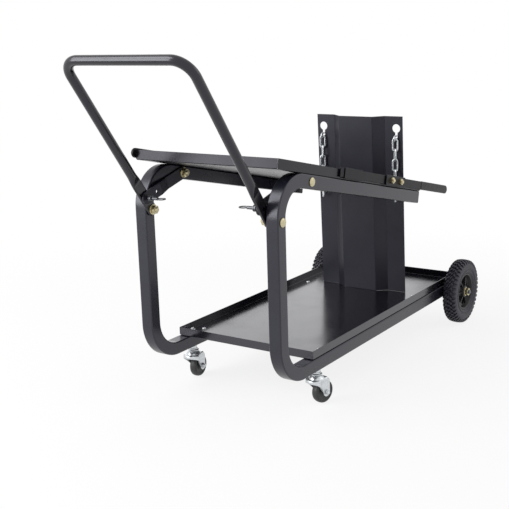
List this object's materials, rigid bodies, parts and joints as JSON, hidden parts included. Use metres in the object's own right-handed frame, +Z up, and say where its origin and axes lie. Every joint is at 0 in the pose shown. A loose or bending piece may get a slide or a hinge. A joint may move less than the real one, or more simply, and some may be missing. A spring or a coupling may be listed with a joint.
{
  "type": "welding cart",
  "caption": "Welding cart: bent tube side frames, sloping top tray, lower tray for a gas bottle, chained back plate, folding push handle, rear wheels and swivel casters.",
  "frame": {"origin": "on the floor, under the middle of the whole cart", "axes": "+Z up, +Y from the push handle to the rear wheels, +X to the right when seen from the handle"},
  "size_m": [0.472, 1.2096, 0.7826],
  "materials": {
    "frame_paint": "satin black powder coat on steel",
    "handle_paint": "gloss black powder coat on steel tube",
    "end_plug": "black moulded plug",
    "yellow_zinc": "yellow passivated zinc plate",
    "bright_zinc": "bright zinc plate",
    "tyre": "black block-tread rubber",
    "rim": "black moulded spoked rim",
    "caster_rubber": "dark hard rubber"
  },
  "bodies": {
    "cart": {"side_frame_left": "frame_paint", "side_frame_right": "frame_paint", "lower_tray": "frame_paint", "top_tray": "frame_paint", "back_plate": "frame_paint", "strut_left": "frame_paint", "strut_right": "frame_paint", "cable_arm_left": "frame_paint", "cable_arm_right": "frame_paint", "arm_sleeve_left": "frame_paint", "arm_sleeve_right": "frame_paint", "arm_clamp_left": "frame_paint", "arm_clamp_right": "frame_paint", "lower_end_plug_left": "end_plug", "lower_end_plug_right": "end_plug", "upper_end_plug_left": "end_plug", "upper_end_plug_right": "end_plug", "pivot_bolt_left": "yellow_zinc", "pivot_bolt_right": "yellow_zinc", "pivot_nut_left": "yellow_zinc", "pivot_nut_right": "yellow_zinc", "rail_bolt_left": "yellow_zinc", "rail_bolt_right": "yellow_zinc", "rail_nut_left": "yellow_zinc", "rail_nut_right": "yellow_zinc", "axle_nut_left": "yellow_zinc", "axle_nut_right": "yellow_zinc", "axle": "bright_zinc", "caster_stem_left": "bright_zinc", "caster_stem_right": "bright_zinc", "chain_anchor_left": "bright_zinc", "chain_anchor_right": "bright_zinc", "chain_stop_left": "bright_zinc", "chain_stop_right": "bright_zinc"},
    "handle": {"handle": "handle_paint"},
    "lock_pin_left": {"lock_pin_left": "bright_zinc"},
    "lock_pin_right": {"lock_pin_right": "bright_zinc"},
    "wheel_left": {"tyre_left": "tyre", "rim_left": "rim"},
    "wheel_right": {"tyre_right": "tyre", "rim_right": "rim"},
    "swivel_left": {"caster_fork_left": "bright_zinc", "caster_axle_left": "bright_zinc"},
    "swivel_right": {"caster_fork_right": "bright_zinc", "caster_axle_right": "bright_zinc"},
    "roller_left": {"caster_wheel_left": "caster_rubber"},
    "roller_right": {"caster_wheel_right": "caster_rubber"},
    "chain_left": {"chain_link_left_1": "bright_zinc", "chain_link_left_2": "bright_zinc", "chain_link_left_3": "bright_zinc", "chain_link_left_4": "bright_zinc", "chain_link_left_5": "bright_zinc", "chain_link_left_6": "bright_zinc"},
    "chain_right": {"chain_link_right_1": "bright_zinc", "chain_link_right_2": "bright_zinc", "chain_link_right_3": "bright_zinc", "chain_link_right_4": "bright_zinc", "chain_link_right_5": "bright_zinc", "chain_link_right_6": "bright_zinc"}
  },
  "joints": [
    {"name": "handle_fold", "type": "hinge", "parent": "cart", "child": "handle", "pos_m": [0, -0.35393, 0.441], "axis": [1, 0, 0], "range_deg": [-25, 110]},
    {"name": "lock_pin_left_slide", "type": "slide", "parent": "cart", "child": "lock_pin_left", "axis": [-1, 0, 0], "range_m": [0, 0.006]},
    {"name": "wheel_left_spin", "type": "hinge", "parent": "cart", "child": "wheel_left", "pos_m": [-0.208, 0.51707, 0.088], "axis": [1, 0, 0], "continuous": true},
    {"name": "caster_left_swivel", "type": "hinge", "parent": "cart", "child": "swivel_left", "pos_m": [-0.171, -0.20693, 0.06], "axis": [0, 0, 1], "continuous": true},
    {"name": "caster_left_spin", "type": "hinge", "parent": "swivel_left", "child": "roller_left", "pos_m": [-0.17288, -0.18903, 0.027], "axis": [0.9945, 0.1045, 0], "continuous": true},
    {"name": "chain_left_swing", "type": "hinge", "parent": "cart", "child": "chain_left", "pos_m": [-0.107, 0.31139, 0.5226], "axis": [0, 1, 0], "range_deg": [-5, 20]},
    {"name": "lock_pin_right_slide", "type": "slide", "parent": "cart", "child": "lock_pin_right", "axis": [1, 0, 0], "range_m": [0, 0.006]},
    {"name": "wheel_right_spin", "type": "hinge", "parent": "cart", "child": "wheel_right", "pos_m": [0.208, 0.51707, 0.088], "axis": [1, 0, 0], "continuous": true},
    {"name": "caster_right_swivel", "type": "hinge", "parent": "cart", "child": "swivel_right", "pos_m": [0.171, -0.20693, 0.06], "axis": [0, 0, 1], "continuous": true},
    {"name": "caster_right_spin", "type": "hinge", "parent": "swivel_right", "child": "roller_right", "pos_m": [0.17505, -0.18939, 0.027], "axis": [0.9744, -0.225, 0], "continuous": true},
    {"name": "chain_right_swing", "type": "hinge", "parent": "cart", "child": "chain_right", "pos_m": [0.107, 0.31139, 0.5226], "axis": [0, 1, 0], "range_deg": [-20, 5]}
  ]
}
